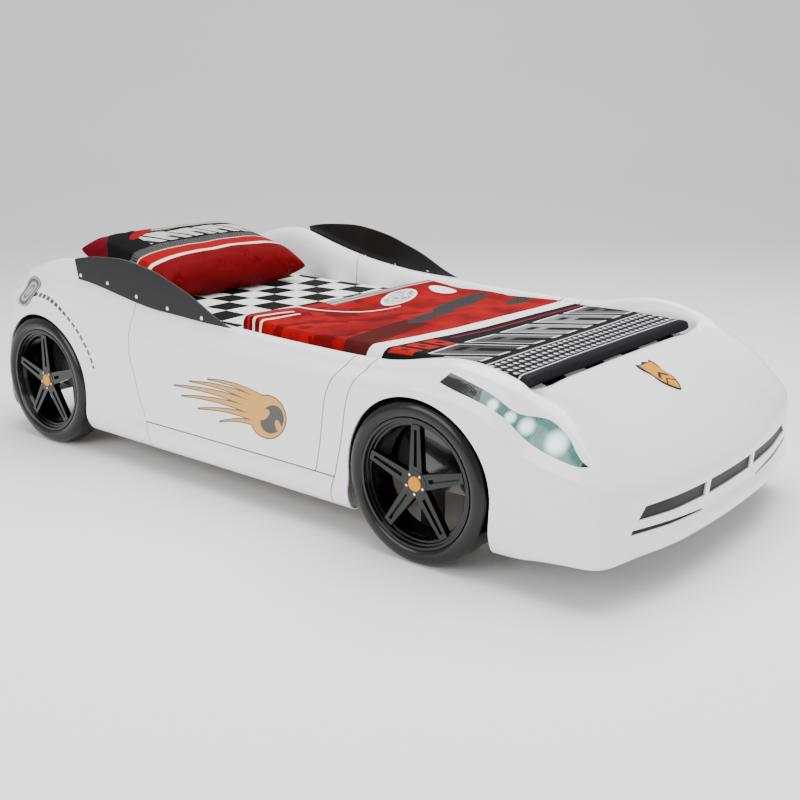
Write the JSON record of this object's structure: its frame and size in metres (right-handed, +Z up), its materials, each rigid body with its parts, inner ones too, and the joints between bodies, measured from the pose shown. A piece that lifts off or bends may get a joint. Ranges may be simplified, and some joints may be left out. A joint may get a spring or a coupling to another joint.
{
  "type": "toddler bed",
  "caption": "Low child's bed shaped as a sports car: moulded white shells round a slatted base, with lit headlights, wheels, mattress and bedding.",
  "frame": {"origin": "on the floor, under the middle of the bed", "axes": "+Z up; the nose points along -Y and the pillow end along +Y; +X is the left side of the car"},
  "size_m": [1.15, 2.4273, 0.6596],
  "materials": {
    "shell_white": "gloss",
    "trim_black": "matt",
    "panel_black": "satin",
    "tyre_black": "gloss",
    "rim_black": "gloss",
    "cap_orange": "gloss",
    "badge_orange": "gloss",
    "chrome": "polished",
    "zinc": "zinc plated",
    "mesh_grey": "satin",
    "lens_aqua": "clear aqua tint",
    "reflector_aqua": "gloss",
    "led_white": "glowing",
    "lamp_red": "gloss",
    "cap_grey": "satin",
    "pine": "planed",
    "board": "coated board",
    "glide_black": "matt",
    "switch_black": "satin",
    "mattress_cloth": "checked cotton sheet",
    "duvet_cloth": "printed cotton",
    "pillow_cloth": "printed cotton"
  },
  "bodies": {
    "car": {"base_legs": "board", "body_straps": "zinc", "bonnet_badge": "badge_orange", "centre_beam": "board", "end_rail_foot": "board", "end_rail_head": "board", "frame_bolts": "zinc", "grille_mesh": "mesh_grey", "headlight_leds": "led_white", "hub_bolts": "chrome", "left_door_panel": "shell_white", "left_door_trim": "trim_black", "left_filler_cap": "cap_grey", "left_front_arch_liner": "trim_black", "left_front_hub_stub": "zinc", "left_front_rim": "rim_black", "left_front_tyre": "tyre_black", "left_headlight_lens": "lens_aqua", "left_headlight_reflector": "reflector_aqua", "left_rear_arch_liner": "trim_black", "left_rear_hub_stub": "zinc", "left_rear_rim": "rim_black", "left_rear_tyre": "tyre_black", "left_side_rail": "board", "left_sill": "shell_white", "left_strip_panel": "shell_white", "left_window_panel": "panel_black", "leg_glides": "glide_black", "light_control_box": "switch_black", "light_loom": "switch_black", "nose_shell": "shell_white", "power_inlet": "switch_black", "right_door_panel": "shell_white", "right_door_trim": "trim_black", "right_filler_cap": "cap_grey", "right_front_arch_liner": "trim_black", "right_front_hub_stub": "zinc", "right_front_rim": "rim_black", "right_front_tyre": "tyre_black", "right_headlight_lens": "lens_aqua", "right_headlight_reflector": "reflector_aqua", "right_rear_arch_liner": "trim_black", "right_rear_hub_stub": "zinc", "right_rear_rim": "rim_black", "right_rear_tyre": "tyre_black", "right_side_rail": "board", "right_sill": "shell_white", "right_strip_panel": "shell_white", "right_window_panel": "panel_black", "slat_screws": "zinc", "slats": "pine", "switch_bezel": "switch_black", "tail_lamps": "lamp_red", "tail_shell": "shell_white", "wheel_centre_caps": "cap_orange", "window_screws": "chrome"},
    "mattress": {"mattress": "mattress_cloth"},
    "duvet": {"duvet": "duvet_cloth"},
    "pillow": {"pillow": "pillow_cloth"},
    "rocker": {"switch_rocker": "switch_black"}
  },
  "joints": [
    {"name": "mattress_lift", "type": "slide", "parent": "car", "child": "mattress", "axis": [0, 0, 1], "range_m": [0, 0.4]},
    {"name": "duvet_lift", "type": "slide", "parent": "mattress", "child": "duvet", "axis": [0, 0, 1], "range_m": [0, 0.3]},
    {"name": "pillow_lift", "type": "slide", "parent": "mattress", "child": "pillow", "axis": [0, 0, 1], "range_m": [0, 0.3]},
    {"name": "light_switch", "type": "hinge", "parent": "car", "child": "rocker", "pos_m": [0.12, -0.8135, 0.215], "axis": [0, 0, 1], "range_deg": [0, 20]}
  ]
}
